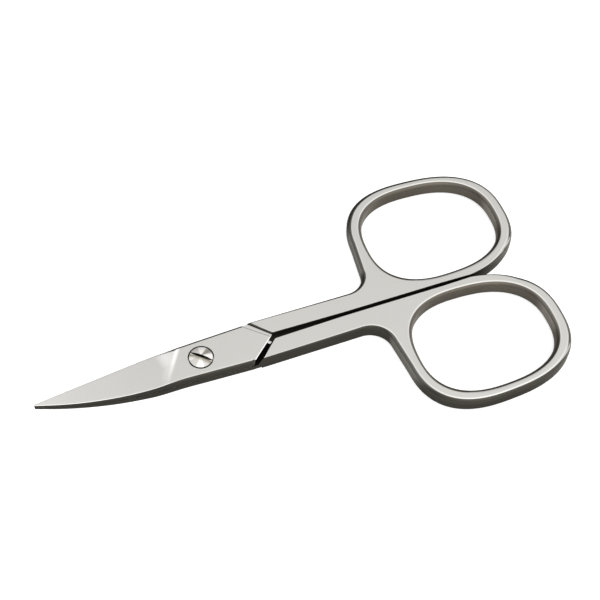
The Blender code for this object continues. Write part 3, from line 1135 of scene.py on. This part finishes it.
def makeScrewSteel(groups):
    material, tree, shader, grain = startMaterial("polishedScrewPaintedSheen", groups)
    # Painted reflection: light and dark sectors round the dome's axis, a little ragged, where the
    # turned head would mirror the lamps.
    place = addNode(tree, "ShaderNodeTexCoord", -2300, 300).outputs["Object"]
    parts = addParts(tree, -2100, 500, place)
    angle = addMath(tree, -1900, 500, "ARCTAN2", parts["Y"], parts["X"])
    noise, count = screwSteel["sectorNoise"], screwSteel["sectorCount"]
    ragged = addMath(tree, -1700, 400, "MULTIPLY_ADD", grain["Tone"], noise, -noise / 2)
    offset = -count * screwSteel["sectorTurn"]
    lobes = addMath(tree, -1700, 600, "MULTIPLY_ADD", angle, count, offset)
    phase = addMath(tree, -1500, 500, "ADD", lobes, ragged)
    wave = addMath(tree, -1300, 500, "COSINE", phase)
    sector = addRange(tree, -1100, 500, wave, screwSteel["sectorEdges"], smooth=True)
    offDark = addMath(tree, -1700, 900, "SUBTRACT", angle, screwSteel["darkSide"])
    facing = addMath(tree, -1500, 900, "COSINE", offDark)
    softer = addRange(tree, -1300, 900, facing, screwSteel["darkReach"], (0, screwSteel["darkEnd"]))
    tone = addMath(tree, -900, 700, "MAXIMUM", sector, softer)
    colour = addBlend(tree, -700, 400, tone, screwSteel["colourDark"], screwSteel["colour"])
    # Below the slot, a painted reflection of the slot's dark side.
    turn = math.radians(screw["slotTurn"])
    axis = (-math.sin(turn), math.cos(turn), 0)
    across = addVectorMath(tree, -2100, 0, "DOT_PRODUCT", place, axis)
    near = addRange(tree, -1700, 0, across, screwSteel["slotReach"], smooth=True)
    under = addMath(tree, -1700, -300, "LESS_THAN", across, 0)
    shaded = addMath(tree, -1500, 0, "MULTIPLY", near, under)
    marks = addNode(tree, "ShaderNodeTangent", -300, -500, direction_type="RADIAL", axis="Z")
    fill(tree, shader, {
        "Metallic": 1,
        "Base Color": addBlend(tree, -500, 200, shaded, colour, screwSteel["slotShade"]),
        "Roughness": addRange(tree, -500, -100, grain["Tone"], (0, 1), screwSteel["roughness"]),
        "Anisotropic": screwSteel["turned"],
        "Tangent": marks.outputs[0],
        "Normal": addLevelledGrain(tree, groups, grain, screwSteel),
    })
    return material


# Floor and light

studio = {
    "floorSize": 4.0,
    "floorDrop": 0.01 * mm,
    "floorColour": (0.80, 0.80, 0.80, 1),
    "floorGlow": 0.60,
    "skyAxis": (0.15, -0.35, 0.94),  # the sky is brightest above and a little towards the camera
    "skyStrength": 1.40,
    "skyTones": [(0.0, 0.16), (0.50, 0.18), (0.64, 0.34), (0.76, 0.72), (0.84, 0.76), (1.0, 1.0)],
    "lights": [  # name, direction from the object, distance, width, height, radiance
        ("frontBox", (0.2, -0.55, 0.75), 0.6, 0.5, 0.35, 1.4),
    ],
}


def makeFloor():
    half = studio["floorSize"] / 2
    shape = bmesh.new()
    shape.faces.new([shape.verts.new((x, y, 0)) for x, y in rectangle(half, half)])
    floor = addObject("floor", meshFrom(shape, "floor"))
    floor.location.z = -studio["floorDrop"]
    material = bpy.data.materials.new("paleFloor")
    material.use_nodes = True
    tree = material.node_tree
    tree.nodes.clear()
    paint = addNode(tree, "ShaderNodeBsdfDiffuse", -300, 100, Color=studio["floorColour"])
    # The glow is for the camera and the mirroring steel, and lights nothing else.
    path = addNode(tree, "ShaderNodeLightPath", -900, -100).outputs
    seen = addMath(tree, -700, -100, "ADD", path["Is Camera Ray"], path["Is Glossy Ray"])
    either = addMath(tree, -500, -100, "ADD", seen, path["Is Transmission Ray"])
    amount = addMath(tree, -300, -100, "MULTIPLY", either, studio["floorGlow"])
    glow = addNode(tree, "ShaderNodeEmission", -100, -100, Strength=amount)
    total = addNode(tree, "ShaderNodeAddShader", 100, 0)
    feed(tree, total.inputs[0], paint.outputs[0])
    feed(tree, total.inputs[1], glow.outputs[0])
    addNode(tree, "ShaderNodeOutputMaterial", 300, 0, Surface=total.outputs[0])
    floor.data.materials.append(material)


def makeWorld():
    world = bpy.data.worlds.new("studio")
    world.use_nodes = True
    scene.world = world
    tree = world.node_tree
    place = addNode(tree, "ShaderNodeTexCoord", -900, 0)
    axis = Vector(studio["skyAxis"]).normalized()
    along = addVectorMath(tree, -700, 0, "DOT_PRODUCT", place.outputs["Generated"], axis)
    tones = addNode(tree, "ShaderNodeValToRGB", -300, 0)
    feed(tree, tones.inputs[0], addRange(tree, -500, 0, along, (-1, 1)))
    stops = tones.color_ramp.elements
    for index, (reach, tone) in enumerate(studio["skyTones"]):
        stop = stops[index] if index < 2 else stops.new(reach)
        stop.position = reach
        stop.color = (tone, tone, tone, 1)
    shade = tree.nodes["Background"]
    fill(tree, shade, {"Color": tones.outputs[0], "Strength": studio["skyStrength"]})


def makeLights():
    for name, direction, distance, width, height, radiance in studio["lights"]:
        data = bpy.data.lights.new(name, "AREA")
        data.shape = "RECTANGLE"
        data.size, data.size_y = width, height
        data.energy = radiance * math.pi * width * height
        made = addObject(name, data)
        made.location = Vector(direction).normalized() * distance
        made.rotation_euler = Vector(direction).to_track_quat("Z", "Y").to_euler()


scene.view_settings.view_transform = "Standard"
makeCamera()
print("camera placed")
upperHalf = makeHalf("upperHalf", 1)
lowerHalf = makeHalf("lowerHalf", -1)
pivotScrew = makeScrew()
groups = {"grain": makeGrain(), "levelled": makeLevelledGrain(), "mask": makeFaceMask()}
recessShadeMaterial = makeRecessShadeSteel(groups)
litWallMaterial = makeHalfSteel("litWallSteel", groups, "litHoleWall", False)
for half, name in ((upperHalf, "upperSatinSteel"), (lowerHalf, "lowerSatinSteel")):
    half.data.materials.append(makeHalfSteel(name, groups, "wall", half == upperHalf))
    half.data.materials.append(recessShadeMaterial)
    half.data.materials.append(litWallMaterial)
upperHalf.data.materials.append(makeHighlightEdgeSteel(groups))
pivotScrew.data.materials.append(makeScrewSteel(groups))
pivotScrew.data.materials.append(recessShadeMaterial)
print("materials made")
makeFloor()
makeWorld()
makeLights()
print("studio lit")

for piece, body, node, slot in (
    (upperHalf, "upper_half", "upper_half", "upper_half_steel"),
    (lowerHalf, "lower_half", "lower_half", "lower_half_steel"),
    (pivotScrew, "lower_half", "pivot_screw", "screw_steel"),
):
    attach(piece, body)
    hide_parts(node)
